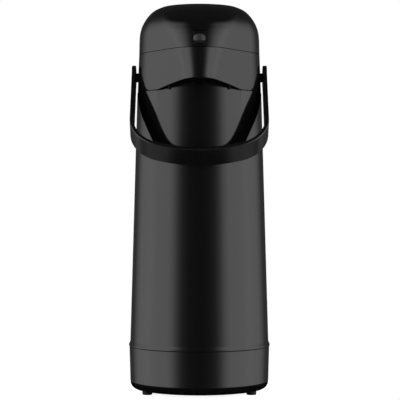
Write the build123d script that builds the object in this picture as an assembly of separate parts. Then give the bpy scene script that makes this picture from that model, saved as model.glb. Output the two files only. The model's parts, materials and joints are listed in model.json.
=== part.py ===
from build123d import *
import math
import os

# Airpot: a slim pump flask with a glass liner, a flip-top pump lid and a swinging carry handle.
# Millimetres, +Z up. The origin is on the flask's axis, on the table under the feet.
# The spout's side, the front, is -Y.

# Clearances, and how far a cutting shape runs past what it cuts
press_gap = 0.02
run_gap = 0.05
slide_gap = 0.3
seat_gap = 0.2
seam_gap = 0.4
over = 1.0
far = 500.0

# Outer body: a taper that ends in a flared lip over the base
body_low_radius = 62.0
body_taper = 6.3
body_height = 226.6
body_wall = 2.2
body_lip = 1.2
body_lip_height = 1.4
body_flare_height = 4.4

# Base, feet and table
foot_height = 2.9
foot_radius = 4.4
foot_inset = 2.4
foot_pocket = 1.2
foot_count = 3
foot_chamfer = 0.5
base_joint_height = 41.0
base_setback = 0.4
base_taper = 1.05
base_corner_run = 6.35
base_corner_height = 6.8
base_wall = 2.4
base_floor = 3.0
spigot_height = 8.0
spigot_wall = 1.9
spigot_root = 3.0

# Head: the housing up to the lid's seam, and the beak that carries the spout
head_height = 34.3
head_setback = 0.3
head_taper = 1.3
head_wall = 2.2
beak_overhang = 34.6
beak_rake = 11.5
beak_low_nose = 14.0
beak_seam_nose = 24.9
arch_half_width = 36.5
arch_flat_half_width = 4.8
arch_rise = 7.4
arch_flank_place = 20.4
arch_flank_rise = 4.6
arch_fillet = 6.0
tongue_half_angle = 40.0
floor_rise = 10.9
floor_plate = 1.8
clip_place = 26.5
clip_width = 1.6
clip_depth = 1.8
deck_drop = 8.9
deck_plate = 2.0
deck_ledge = 2.0
deck_screw_inset = 6.5
deck_screw_angles = (35, 145, 215, 325)
screw_web = 2.0

# Screws
screw_radius = 1.4
screw_head_radius = 2.6
screw_head = 1.6
screw_length = 9.0
screw_boss_radius = 3.0

# Pump button and what it drives
button_radius = 34.6
button_rise = 0.7
button_plate = 2.4
button_wall = 1.8
button_edge = 0.6
button_skirt_rise = 6.1
button_lip = 1.6
button_lip_height = 2.0
button_lip_half_width = 7.0
button_lip_angles = (0, 90, 180, 270)
bellows_play = 2.8
bellows_fold = 6.0
bellows_wall = 1.2
bellows_folds = 5
bellows_flange = 1.6
clamp_height = 2.4
pusher_drop = 17.6
pusher_plate_thick = 2.0
pusher_play = 1.0
pusher_hub_radius = 11.0
pusher_hub_wall = 2.0
pusher_rib_half = 0.9
pusher_rib_angles = (45, 135, 225, 315)
spring_radius = 17.0
spring_wire = 1.6
spring_turns = 5
spring_wire_sides = 8
intake_radius = 2.5
intake_flap_radius = 6.0
flap_thick = 1.2

# Lid
lid_height = 41.4
lid_wall = 2.2
well_play = 0.5
crown_land = 0.9
well_wall = 2.0
well_depth = 7.0
inner_cover_plate = 2.2
inner_cover_drop = 1.5
inner_cover_front_gap = 0.9
lid_screw_inset = 10.6
lid_screw_angles = (45, 135, 225, 315)
air_hole_radius = 1.5
air_hole_circle = 4.0
air_hole_count = 6
air_flap_radius = 7.5

# Hinge of the lid
hinge_offset = 4.5
knuckle_radius = 4.0
knuckle_half_width = 6.0
knuckle_outer_half_width = 14.0
knuckle_drop = 6.0
hinge_pin_radius = 1.5

# Lock slide on the button
lock_place = 6.0
lock_travel = 5.0
lock_recess = (20.0, 17.0, 1.2)
lock_knob = (12.0, 8.0, 1.0)
lock_stem = 3.6
lock_bolt = (8.0, 2.0)
bolt_rest = 5.8

# Latch of the lid, in the scoop above the beak
latch_width = 11.0
latch_rise = 2.2
latch_height = 12.7
latch_travel = 2.5
latch_pad = 1.2
latch_arm_width = 6.0
latch_arm_depth = 2.4
latch_arm_inset = 4.7
latch_stalk_rise = 2.4
latch_hook = 1.6
latch_hook_plate = 2.0
latch_foot_length = 16.0
latch_foot_plate = 3.0
scoop_radius = 8.0
scoop_depth = 1.4
scoop_lift = 2.0
catch_rise = 4.0
catch_plate = 1.4
catch_overlap_side = 2.0

# Glass liner
liner_sink = 5.6
liner_glass = 1.5
liner_room = 4.7
liner_vacuum_side = 7.5
liner_vacuum_bottom = 6.0
liner_neck_outer = 27.5
liner_neck_vacuum = 4.0
liner_neck_length = 14.0
liner_shoulder = 30.0
liner_rise = 8.1
liner_dome = 42.0
liner_knuckle = 22.0
pip_radius = 3.0
pip_length = 4.5
cup_inner = 20.0
cup_inset = 7.0
cup_height = 24.1

# Neck, mouth and seals
neck_ring_play = 0.7
neck_hole_play = 0.6
neck_ring_wall = 2.0
neck_ring_half = 12.0
neck_ring_web_drop = 6.0
neck_ring_web_plate = 2.5
gasket_thick = 2.0
mouth_low_step = 0.5
mouth_room = 20.1
mouth_collar = 3.0
mouth_wall = 1.8
seal_width = 4.0
seal_height = 3.0
seal_gap = 0.1

# Drink path
tube_place = 14.0
tube_radius = 4.5
tube_bore = 3.0
tube_lift = 5.5
tube_notch = (2.0, 3.0)
pipe_drop = 6.0
pipe_bend = 4.8
cage_radius = 7.2
cage_rise = 0.5
cage_seat_rise = 5.0
cage_seat_plate = 2.0
cage_room = 7.8
cage_socket = 2.2
cage_shoulder = 1.0
cage_chamber = 4.4
cage_port = 2.6
ball_radius = 3.4
spout_inset = 14.3
spout_lead = 2.0
spout_drop = 1.7
spout_bore = 3.0
spout_tip_radius = 4.2
spout_flange_radius = 5.5
spout_stop_drop = 5.0
spout_top_drop = 1.0
grommet_radius = 6.4
grommet_front_step = 7.0
grommet_back_step = 1.0
boss_wall = 1.8

# Carry handle
pivot_rise = 14.0
handle_room = 8.2
handle_side_gap = 1.5
handle_thick = 3.6
handle_width = 20.0
handle_eye_radius = 11.0
handle_eye_chamfer = 0.5
handle_corner = 32.0
handle_bottom_arc = 118.0
handle_stand_off = 4.3
handle_edge = 0.9
pivot_radius = 3.5
pivot_boss_radius = 4.15
pivot_pad_radius = 6.0
pivot_pad_depth = 4.6
pivot_head_radius = 6.5
pivot_head_thick = 1.2
side_gap = 0.2

# Radii and heights that follow
body_top_radius = body_low_radius - body_taper
body_lip_radius = body_low_radius + body_lip
body_top_height = base_joint_height + body_height
base_top_radius = body_lip_radius - base_setback
base_low_radius = base_top_radius - base_taper
base_floor_radius = base_low_radius - base_corner_run
floor_top = foot_height + base_floor
foot_circle = base_floor_radius - foot_inset
seam_height = body_top_height + head_height
head_low_radius = body_top_radius - head_setback
head_seam_radius = head_low_radius - head_taper
beak_low_reach = head_low_radius + beak_overhang
beak_seam_reach = beak_low_reach - beak_rake
floor_height = body_top_height + floor_rise
deck_height = seam_height - deck_drop
deck_top = deck_height + deck_plate
deck_screw_circle = head_seam_radius - deck_screw_inset
lid_low = seam_height + seam_gap / 2
lid_top_height = seam_height + lid_height
well_radius = button_radius + well_play
lid_crown_radius = well_radius + crown_land
cover_low = lid_low - inner_cover_drop
cover_top = cover_low + inner_cover_plate
lid_screw_circle = head_seam_radius - lid_screw_inset
hinge_back = head_seam_radius + hinge_offset
button_top = lid_top_height + button_rise
button_plate_low = button_top - button_plate
button_skirt_bottom = seam_height + button_skirt_rise
skirt_inner = button_radius - button_wall
bellows_outer = skirt_inner - bellows_play
bellows_inner = bellows_outer - bellows_fold
pusher_height = button_top - pusher_drop
pusher_radius = bellows_outer - pusher_play
bolt_high = button_plate_low - slide_gap
bolt_low = bolt_high - lock_bolt[1]
latch_low = seam_height + latch_rise
latch_high = latch_low + latch_height
latch_arm_front = beak_seam_reach - latch_arm_inset
liner_top_height = body_top_height - liner_sink
liner_bottom = floor_top + liner_rise
liner_outer_radius = body_top_radius - liner_room
liner_inner_radius = liner_outer_radius - liner_vacuum_side
liner_neck_inner = liner_neck_outer - liner_neck_vacuum
mouth_low_radius = liner_neck_inner + mouth_low_step
mouth_top_radius = head_seam_radius - mouth_room
mouth_cone_top = deck_height - mouth_collar
mouth_rim_height = cover_low - seal_height - seal_gap
pipe_height = deck_height - pipe_drop
cage_seat_height = liner_top_height + cage_seat_rise
cage_ceiling_height = cage_seat_height + cage_room
spout_place = beak_low_reach - spout_inset
outlet_place = spout_place + spout_lead
spout_stop_height = pipe_height - spout_stop_drop
grommet_front = mouth_top_radius + grommet_front_step
grommet_back = mouth_top_radius - grommet_back_step
tube_socket = tube_radius + run_gap
pivot_height = body_top_height + pivot_rise
handle_reach = beak_low_reach + handle_room
handle_inner_face = head_low_radius + handle_side_gap
handle_outer_face = handle_inner_face + handle_thick
handle_tilt = math.degrees(math.asin((body_low_radius + handle_stand_off) / handle_reach))

# Form of the lid's dome, from its lower edge to its crown, as shares: of the height, of the way in from
# the seam's radius to the crown's, of the beak's overhang at the seam, and of the radius for the nose
dome_form = [
    (0.000, 0.000, 1.000, 0.460),
    (0.143, 0.008, 0.863, 0.532),
    (0.313, 0.019, 0.707, 0.616),
    (0.439, 0.044, 0.602, 0.670),
    (0.580, 0.124, 0.510, 0.713),
    (0.726, 0.287, 0.373, 0.777),
    (0.859, 0.514, 0.213, 0.861),
    (0.944, 0.740, 0.082, 0.940),
    (1.000, 1.000, 0.012, 0.990),
]

os.makedirs("parts", exist_ok=True)


def save(shape, node):
    """Write one piece to its own file."""
    export_step(shape, f"parts/{node}.step")


def turned(*points):
    """A ring or disc about the flask's axis, from (radius, height) corners."""
    return turned_outline(Polyline(*points, close=True))


def turned_outline(edges):
    """A solid about the flask's axis, from the edges of its half section."""
    return revolve(Plane.XZ * make_face(edges), Axis.Z)


def rod(radius, low, high, x=0.0, y=0.0):
    """An upright round bar."""
    return Pos(x, y, low) * Cylinder(radius, high - low, align=(Align.CENTER, Align.CENTER, Align.MIN))


def cross_rod(radius, left, right, y, z):
    """A round bar along X."""
    bar = Cylinder(radius, right - left, align=(Align.CENTER, Align.CENTER, Align.MIN))
    return Pos(left, y, z) * Rot(0, 90, 0) * bar


def front_rod(radius, back, front, z):
    """A round bar along Y, between two distances in front of the axis."""
    bar = Cylinder(radius, front - back, align=(Align.CENTER, Align.CENTER, Align.MIN))
    return Pos(0, -front, z) * Rot(-90, 0, 0) * bar


def block(x, y, z):
    """A box between two limits on each axis."""
    size = (x[1] - x[0], y[1] - y[0], z[1] - z[0])
    return Pos(x[0], y[0], z[0]) * Box(*size, align=(Align.MIN, Align.MIN, Align.MIN))


def on_circle(radius, angle):
    """Plan point at an angle in degrees."""
    return radius * math.cos(math.radians(angle)), radius * math.sin(math.radians(angle))


def body_radius(height):
    """Outside radius of the tapered body."""
    low = base_joint_height + body_flare_height
    share = (height - low) / (body_top_height - low)
    return body_low_radius - body_taper * share


def inner_body_radius(height):
    """Inside radius of the body, which tapers straight down to its lip."""
    return body_radius(height) - body_wall


def head_outline(radius, reach, nose, height):
    """Plan of the head at one height: a circle joined to the beak's round nose by two tangent flanks."""
    centre = reach - nose
    lean = math.acos((radius - nose) / centre)
    across = math.sin(lean)
    along = math.cos(lean)
    back_right = (radius * across, -radius * along)
    back_left = (-radius * across, -radius * along)
    front_right = (nose * across, -centre - nose * along)
    front_left = (-nose * across, -centre - nose * along)
    flank_right = Line(back_right, front_right)
    tip = ThreePointArc(front_right, (0, -reach), front_left)
    flank_left = Line(front_left, back_left)
    back = ThreePointArc(back_left, (0, radius), back_right)
    return Pos(0, 0, height) * make_face([flank_right, tip, flank_left, back])


def head_slice(low, high, inset):
    """A slab of the housing's inside or outside shape between two heights."""
    outlines = []
    for height in (low, high):
        share = (height - body_top_height) / (seam_height - body_top_height)
        radius = head_low_radius - head_taper * share - inset
        reach = beak_low_reach - beak_rake * share - inset
        nose = beak_low_nose + (beak_seam_nose - beak_low_nose) * share - inset
        outlines.append(head_outline(radius, reach, nose, height))
    return loft(outlines, ruled=True)


def dome_stations():
    """Stations of the lid's dome: height, radius, reach of the beak and radius of its nose."""
    stations = []
    for up, inward, overhang, nose in dome_form:
        radius = head_seam_radius + (lid_crown_radius - head_seam_radius) * inward
        reach = radius + (beak_seam_reach - head_seam_radius) * overhang
        stations.append((lid_low + (lid_top_height - lid_low) * up, radius, reach, radius * nose))
    return stations


def lid_form(inset, ruled=False):
    """The lid's domed shape, offset inwards by a wall that follows its slope."""
    stations = dome_stations()
    last = len(stations) - 1
    outlines = []
    for index, (height, radius, reach, nose) in enumerate(stations):
        below = stations[max(index - 1, 0)]
        above = stations[min(index + 1, last)]
        fall = (below[1] + below[2] - above[1] - above[2]) / 2
        slope = fall / (above[0] - below[0])
        shrink = inset / math.hypot(1, slope)
        outlines.append(head_outline(radius - shrink, reach - shrink, nose - shrink, height - shrink * slope))
    return loft(outlines, ruled=ruled)


def lid_reach(height):
    """How far the dome stands out in front at a height between two of its stations."""
    stations = dome_stations()
    for below, above in zip(stations, stations[1:]):
        if below[0] <= height <= above[0]:
            return below[2] + (above[2] - below[2]) * (height - below[0]) / (above[0] - below[0])
    return stations[-1][2]


def bottle(neck, barrel, shrink, bottom):
    """A filled bottle: straight neck, shoulder of two arcs, barrel, and a dished bottom with a knuckle."""
    top = liner_top_height + shrink
    high = liner_top_height - liner_neck_length - shrink
    low = high - liner_shoulder
    middle = ((neck + barrel) / 2, (high + low) / 2)
    knuckle = liner_knuckle - shrink
    dome = liner_bottom + liner_dome
    depth = dome - bottom
    run = barrel - knuckle
    dish = (run ** 2 + depth ** 2 - knuckle ** 2) / (2 * (depth - knuckle))
    turn = math.atan2(run, bottom + dish - dome)
    touch = (dish * math.sin(turn), bottom + dish - dish * math.cos(turn))
    upper = TangentArc((neck, high), middle, tangent=(0, -1))
    outline = [
        Line((0, top), (neck, top)),
        Line((neck, top), (neck, high)),
        upper,
        TangentArc(middle, (barrel, low), tangent=upper % 1),
        Line((barrel, low), (barrel, dome)),
        TangentArc((barrel, dome), touch, tangent=(0, -1)),
        TangentArc((0, bottom), touch, tangent=(1, 0)),
        Line((0, bottom), (0, top)),
    ]
    return turned_outline(outline)


def base():
    """Floor cap of the body, its three rubber feet and the rubber cup that carries the liner."""
    top = base_joint_height
    corner = (base_low_radius, foot_height + base_corner_height)
    inside_top = base_top_radius - base_wall
    inside_low = base_low_radius - base_wall
    spigot = inner_body_radius(top) - slide_gap
    bore = spigot - spigot_wall
    inner_wall = Polyline(
        (base_top_radius, top),
        (spigot, top),
        (spigot, top + spigot_height),
        (bore, top + spigot_height),
        (bore, top - spigot_root),
        (inside_top, top - spigot_root - base_wall),
        (inside_low, floor_top + base_wall),
        (inside_low - base_wall, floor_top),
        (0, floor_top),
        (0, foot_height),
    )
    outline = [
        Line((0, foot_height), (base_floor_radius, foot_height)),
        TangentArc((base_floor_radius, foot_height), corner, tangent=(1, 0)),
        Line(corner, (base_top_radius, top)),
        inner_wall,
    ]
    cap = turned_outline(outline)
    feet = []
    foot_top = foot_height + foot_pocket
    for number in range(foot_count):
        x, y = on_circle(foot_circle, 90 + 360 / foot_count * number)
        cap -= rod(foot_radius + run_gap, 0, foot_top, x, y)
        foot = rod(foot_radius, 0, foot_top, x, y)
        feet.append(chamfer(foot.edges().sort_by(Axis.Z)[0], foot_chamfer))
    cup_outer = liner_outer_radius - cup_inset
    cup_top = floor_top + cup_height
    cup = turned((cup_inner, floor_top), (cup_outer, floor_top), (cup_outer, cup_top), (cup_inner, cup_top))
    cup -= bottle(liner_neck_outer, liner_outer_radius + seat_gap, -seat_gap, liner_bottom - seat_gap)
    save(cap, "base_cap")
    save(Compound(children=feet), "rubber_feet")
    save(cup, "liner_support_cup")


def body():
    """The tapered outer shell, with the lip at its foot and the tongue that closes the beak's back."""
    low = base_joint_height
    top = body_top_height
    lip = (body_lip_radius, low + body_lip_height)
    straight = (body_low_radius, low + body_flare_height)
    outline = [
        Line((inner_body_radius(low), low), (body_lip_radius, low)),
        Line((body_lip_radius, low), lip),
        TangentArc(straight, lip, tangent=(0, -1)),
        Line(straight, (body_top_radius, top)),
        Line((body_top_radius, top), (inner_body_radius(top), top)),
        Line((inner_body_radius(top), top), (inner_body_radius(low), low)),
    ]
    shell = turned_outline(outline)
    root = top - over
    tongue = turned(
        (inner_body_radius(top), root),
        (body_radius(root) - seat_gap, root),
        (body_radius(floor_height) - seat_gap, floor_height),
        (inner_body_radius(floor_height), floor_height),
    )
    turn = math.radians(tongue_half_angle)
    corner = (far * math.sin(turn), -far * math.cos(turn))
    wedge = make_face(Polyline((0, 0), (-corner[0], corner[1]), corner, close=True))
    sector = Pos(0, 0, root - over) * extrude(wedge, amount=far)
    save(shell + (tongue & sector), "outer_body")


def liner():
    """The vacuum flask: an outer and an inner glass bottle, joined at the mouth."""
    glass = liner_glass
    top = liner_top_height
    outer = bottle(liner_neck_outer, liner_outer_radius, 0, liner_bottom)
    outer += turned(
        (0, liner_bottom + glass / 2),
        (pip_radius, liner_bottom + glass / 2),
        (pip_radius / 2, liner_bottom - pip_length),
        (0, liner_bottom - pip_length),
    )
    outer -= bottle(liner_neck_outer - glass, liner_outer_radius - glass, glass, liner_bottom + glass)
    inner_bottom = liner_bottom + liner_vacuum_bottom
    inner = bottle(liner_neck_inner, liner_inner_radius, 0, inner_bottom)
    lip_radius = liner_neck_outer - glass - press_gap
    inner += turned(
        (liner_neck_inner - glass / 2, top - glass),
        (lip_radius, top - glass),
        (lip_radius, top),
        (liner_neck_inner - glass / 2, top),
    )
    inner -= bottle(liner_neck_inner - glass, liner_inner_radius - glass, glass, inner_bottom + glass)
    save(outer, "liner_outer_glass")
    save(inner, "liner_inner_glass")


def neck_parts():
    """The collar that holds the liner's neck, and the gasket on the liner's lip."""
    top = liner_top_height
    ring_radius = inner_body_radius(body_top_height) - neck_ring_play
    ring_inner = ring_radius - neck_ring_wall
    ring_low = top - neck_ring_half
    web = top - neck_ring_web_drop
    hole = liner_neck_outer + neck_hole_play
    ring = turned(
        (ring_radius, ring_low),
        (ring_radius, top + neck_ring_half),
        (ring_inner, top + neck_ring_half),
        (ring_inner, web + neck_ring_web_plate),
        (hole, web + neck_ring_web_plate),
        (hole, web),
        (ring_inner, web),
        (ring_inner, ring_low),
    )
    flange_high = web + 2 * neck_ring_web_plate
    ring += turned(
        (ring_radius - neck_ring_wall / 2, web),
        (inner_body_radius(web) - seat_gap, web),
        (inner_body_radius(flange_high) - seat_gap, flange_high),
        (ring_radius - neck_ring_wall / 2, flange_high),
    )
    save(ring, "neck_ring")
    gasket_inner = liner_neck_inner - liner_glass + seat_gap
    gasket_outer = liner_neck_outer - seat_gap
    gasket_top = top + gasket_thick
    gasket = turned(
        (gasket_inner, top),
        (gasket_outer, top),
        (gasket_outer, gasket_top),
        (gasket_inner, gasket_top),
    )
    save(gasket, "neck_gasket")
    return ring_inner - seat_gap


def neck():
    """The mouth funnel with the head's deck, its screws, and the seal round the drink pipe."""
    stay_radius = neck_parts()
    low = liner_top_height + gasket_thick
    outer_radius = mouth_top_radius + mouth_wall
    funnel = turned(
        (mouth_low_radius, low),
        (liner_neck_outer + mouth_wall, low),
        (mouth_low_radius + 2 * mouth_wall, low + 2 * mouth_wall),
        (outer_radius, mouth_cone_top),
        (outer_radius, mouth_rim_height),
        (mouth_top_radius, mouth_rim_height),
        (mouth_top_radius, mouth_cone_top),
        (mouth_low_radius, low + mouth_wall),
    )
    stay_inner = liner_neck_outer + mouth_wall / 2
    funnel += turned(
        (stay_inner, low),
        (stay_radius, low),
        (stay_radius, low + mouth_wall),
        (stay_inner, low + mouth_wall),
    )
    deck = head_slice(deck_height, deck_top, head_wall + seat_gap)
    funnel += deck - rod(mouth_top_radius + mouth_wall / 2, deck_height - over, deck_top + over)
    boss = front_rod(grommet_radius + boss_wall, grommet_back - over, grommet_front, pipe_height)
    boss &= block((-far, far), (-far, far), (0, deck_height + deck_plate / 2))
    funnel += boss - rod(mouth_top_radius, low, mouth_rim_height)
    funnel -= front_rod(grommet_radius + press_gap, 0, grommet_front + over, pipe_height)
    screws = []
    for angle in deck_screw_angles:
        x, y = on_circle(deck_screw_circle, angle)
        funnel -= rod(screw_radius + press_gap, deck_height - over, deck_top + over, x, y)
        shank = rod(screw_radius, deck_top - screw_length, deck_top, x, y)
        screws.append(shank + rod(screw_head_radius, deck_top, deck_top + screw_head, x, y))
    save(funnel, "mouth_funnel")
    save(Compound(children=screws), "deck_screws")
    sleeve = front_rod(grommet_radius, grommet_back, grommet_front, pipe_height)
    sleeve -= front_rod(tube_socket, grommet_back - over, grommet_front + over, pipe_height)
    save(sleeve, "pipe_grommet")


def arch():
    """The bell-shaped cut in the front lower edge of the head, over the cup."""
    low = body_top_height
    flat_right = (arch_flat_half_width, low + arch_rise)
    flat_left = (-arch_flat_half_width, low + arch_rise)
    right = (arch_half_width, low)
    left = (-arch_half_width, low)
    below = low - over
    face = make_face(
        [
            ThreePointArc(left, (-arch_flank_place, low + arch_flank_rise), flat_left),
            Line(flat_left, flat_right),
            ThreePointArc(flat_right, (arch_flank_place, low + arch_flank_rise), right),
            Polyline(right, (arch_half_width, below), (-arch_half_width, below), left),
        ]
    )
    face = fillet(face.vertices().sort_by(Axis.Y)[-2:], arch_fillet)
    return extrude(Plane.XZ.offset(head_low_radius / 2) * face, amount=far)


def head():
    """The head housing, with its beak, deck ledge, screw bosses, pivots' bosses, knuckles and catch."""
    top = seam_height - seam_gap / 2
    shell = head_slice(body_top_height, top, 0)
    shell -= head_slice(body_top_height - over, top + over, head_wall)
    ledge_low = deck_height - deck_ledge
    ledge = head_slice(ledge_low, deck_height, head_wall / 2)
    ledge -= head_slice(ledge_low - over, deck_height + over, head_wall + deck_ledge)
    shell += ledge
    shell -= arch()

    boss_low = deck_top - screw_length - over
    wall_middle = head_seam_radius - head_wall / 2
    for angle in deck_screw_angles:
        x, y = on_circle(deck_screw_circle, angle)
        shell += rod(screw_boss_radius, boss_low, deck_height, x, y)
        shell += Rot(0, 0, angle) * block(
            (deck_screw_circle, wall_middle), (-screw_web / 2, screw_web / 2), (boss_low, deck_height)
        )
        shell -= rod(screw_radius + press_gap, deck_top - screw_length, deck_height + over, x, y)

    pad_inner = head_seam_radius - pivot_pad_depth
    boss_outer = handle_inner_face - side_gap
    lug = cross_rod(pivot_pad_radius, pad_inner, wall_middle, 0, pivot_height)
    lug += cross_rod(pivot_boss_radius, wall_middle - over, boss_outer, 0, pivot_height)
    hole = cross_rod(pivot_radius + press_gap, pad_inner - over, boss_outer + over, 0, pivot_height)
    shell = shell + lug + mirror(lug, Plane.YZ) - hole - mirror(hole, Plane.YZ)

    knuckle_inner = knuckle_half_width + seat_gap
    inside = head_seam_radius - head_wall
    ear = cross_rod(knuckle_radius, knuckle_inner, knuckle_outer_half_width, hinge_back, seam_height)
    ear += block(
        (knuckle_inner, knuckle_outer_half_width),
        (inside, hinge_back),
        (seam_height - knuckle_drop, top - over),
    )
    ear -= rod(inside, 0, seam_height)
    ear -= cross_rod(hinge_pin_radius + press_gap, 0, far, hinge_back, seam_height)
    ear -= block((0, far), (0, head_seam_radius + slide_gap), (top, top + far))
    shell += ear + mirror(ear, Plane.YZ)

    catch_low = deck_top + catch_rise
    catch_half = latch_arm_width / 2 + catch_overlap_side
    catch_back = latch_arm_front + latch_hook + seam_gap
    shell += block(
        (-catch_half, catch_half),
        (-beak_seam_reach + head_wall / 2, -catch_back),
        (catch_low, catch_low + catch_plate),
    )
    save(shell, "head_housing")


def head_pieces():
    """The beak's floor plate with its clips, the hinge pin and the handle's two pivots."""
    plate = head_slice(floor_height, floor_height + floor_plate, head_wall + seat_gap)
    plate &= block((-arch_half_width, arch_half_width), (-far, 0), (0, far))
    plate -= rod(inner_body_radius(floor_height), 0, far)
    plate -= rod(spout_tip_radius + seat_gap, 0, far, 0, -outlet_place)
    back = math.sqrt(body_radius(body_top_height) ** 2 - clip_place ** 2) + slide_gap
    tooth = block(
        (clip_place - clip_width / 2, clip_place + clip_width / 2),
        (-back - clip_depth, -back),
        (body_top_height + seat_gap, floor_height + floor_plate / 2),
    )
    save(plate + tooth + mirror(tooth, Plane.YZ), "beak_floor")

    half = knuckle_outer_half_width
    save(cross_rod(hinge_pin_radius, -half, half, hinge_back, seam_height), "lid_hinge_pin")

    head_inner = handle_outer_face - pivot_head_thick
    pivot = cross_rod(pivot_radius, head_seam_radius - pivot_pad_depth, head_inner, 0, pivot_height)
    pivot += cross_rod(pivot_head_radius, head_inner, handle_outer_face, 0, pivot_height)
    save(Compound(children=[pivot, mirror(pivot, Plane.YZ)]), "handle_pivots")


def valve():
    """Dip tube, and the tip-over valve with its ball."""
    y = -tube_place
    tube_low = liner_bottom + liner_vacuum_bottom + liner_glass + tube_lift
    tube_top = cage_seat_height - cage_seat_plate
    tube = rod(tube_radius, tube_low, tube_top, 0, y) - rod(tube_bore, tube_low - over, tube_top + over, 0, y)
    notch_wide, notch_high = tube_notch
    tube -= block((-notch_wide / 2, notch_wide / 2), (-far, far), (0, tube_low + notch_high))
    save(tube, "dip_tube")

    cage_low = liner_top_height + cage_rise
    pipe_seat = cage_ceiling_height + cage_shoulder
    cage_top = pipe_seat + cage_socket
    cage = rod(cage_radius, cage_low, cage_top, 0, y)
    cage -= rod(tube_socket, cage_low - over, tube_top, 0, y)
    cage -= rod(cage_port, cage_low, cage_top, 0, y)
    cage -= rod(cage_chamber, cage_seat_height, cage_ceiling_height, 0, y)
    cage -= rod(tube_socket, pipe_seat, cage_top + over, 0, y)
    save(cage, "tip_valve_cage")

    rise = math.sqrt(ball_radius ** 2 - cage_port ** 2)
    save(Pos(0, y, cage_seat_height + rise + run_gap) * Sphere(ball_radius), "valve_ball")
    return pipe_seat


def drink_path():
    """The drink's way out: the valve, the pipe over the neck and the spout nozzle."""
    route = FilletPolyline(
        (0, -tube_place, valve()),
        (0, -tube_place, pipe_height),
        (0, -spout_place, pipe_height),
        (0, -spout_place, spout_stop_height),
        radius=pipe_bend,
    )
    start = Plane(origin=route @ 0, z_dir=route % 0)
    pipe = sweep(start * Circle(tube_radius), path=route) - sweep(start * Circle(tube_bore), path=route)
    save(pipe, "spout_pipe")

    plate_top = floor_height + floor_plate
    tip = floor_height - spout_drop
    top = pipe_height - spout_top_drop
    nozzle = rod(spout_tip_radius, tip, plate_top, 0, -outlet_place)
    nozzle += rod(spout_flange_radius, plate_top, top, 0, -spout_place)
    nozzle -= rod(spout_bore, tip - over, spout_stop_height, 0, -outlet_place)
    nozzle -= rod(tube_socket, spout_stop_height, top + over, 0, -spout_place)
    nozzle -= block(
        (-tube_socket, tube_socket), (-spout_place, 0), (pipe_height - tube_socket, pipe_height + tube_socket)
    )
    save(nozzle, "spout_nozzle")


def lid():
    """The flip-top lid: its dome, the inner cover under it with its screws, and the seal."""
    form = lid_form(0)
    dome = form - lid_form(lid_wall, ruled=True)
    dome -= block((-far, far), (-far, far), (0, lid_low))
    dome -= rod(well_radius, lid_low, lid_top_height + over)
    well = rod(well_radius + well_wall, lid_top_height - well_depth, lid_top_height)
    well -= rod(well_radius, lid_low, lid_top_height + over)
    dome += well & form

    side = head_wall + 2 * slide_gap
    cover = head_slice(cover_low, seam_height, side)
    upper_reach = beak_seam_reach - side - inner_cover_front_gap
    upper = head_outline(head_seam_radius - side, upper_reach, beak_seam_nose - side, seam_height)
    cover += extrude(upper, amount=cover_top - seam_height)
    screws = []
    for angle in lid_screw_angles:
        x, y = on_circle(lid_screw_circle, angle)
        dome += rod(screw_boss_radius, cover_top, lid_top_height, x, y) & form
        dome -= rod(screw_radius + press_gap, cover_top - over, cover_low + screw_length, x, y)
        cover -= rod(screw_radius + press_gap, cover_low - over, cover_top + over, x, y)
        shank = rod(screw_radius, cover_low, cover_low + screw_length - over, x, y)
        screws.append(shank + rod(screw_head_radius, cover_low - screw_head, cover_low, x, y))

    inside = head_seam_radius - head_wall
    dome += cross_rod(knuckle_radius, -knuckle_half_width, knuckle_half_width, hinge_back, seam_height)
    root = block(
        (-knuckle_half_width, knuckle_half_width),
        (inside, hinge_back),
        (lid_low, seam_height + knuckle_radius),
    )
    dome += root - rod(inside, 0, far)
    dome -= cross_rod(hinge_pin_radius + run_gap, -far, far, hinge_back, seam_height)
    half = latch_width / 2
    dome -= block((-half, half), (-far, -head_seam_radius), (latch_low, latch_high))
    save(dome, "lid_shell")

    arm_half = latch_arm_width / 2 + slide_gap
    slot_back = latch_arm_front - latch_arm_depth - latch_travel - slide_gap
    cover -= block((-arm_half, arm_half), (-far, -slot_back), (cover_low - over, cover_top + over))
    for number in range(air_hole_count):
        x, y = on_circle(air_hole_circle, 360 / air_hole_count * number)
        cover -= rod(air_hole_radius, cover_low - over, cover_top + over, x, y)
    save(cover, "lid_inner_cover")
    save(Compound(children=screws), "lid_screws")

    seal_middle = mouth_top_radius + mouth_wall / 2
    seal_low = mouth_rim_height + seal_gap
    seal = rod(seal_middle + seal_width / 2, seal_low, cover_low)
    seal -= rod(seal_middle - seal_width / 2, seal_low - over, cover_low + over)
    save(seal, "lid_seal")
    save(rod(air_flap_radius, cover_low - flap_thick, cover_low), "air_valve_flap")


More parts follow.
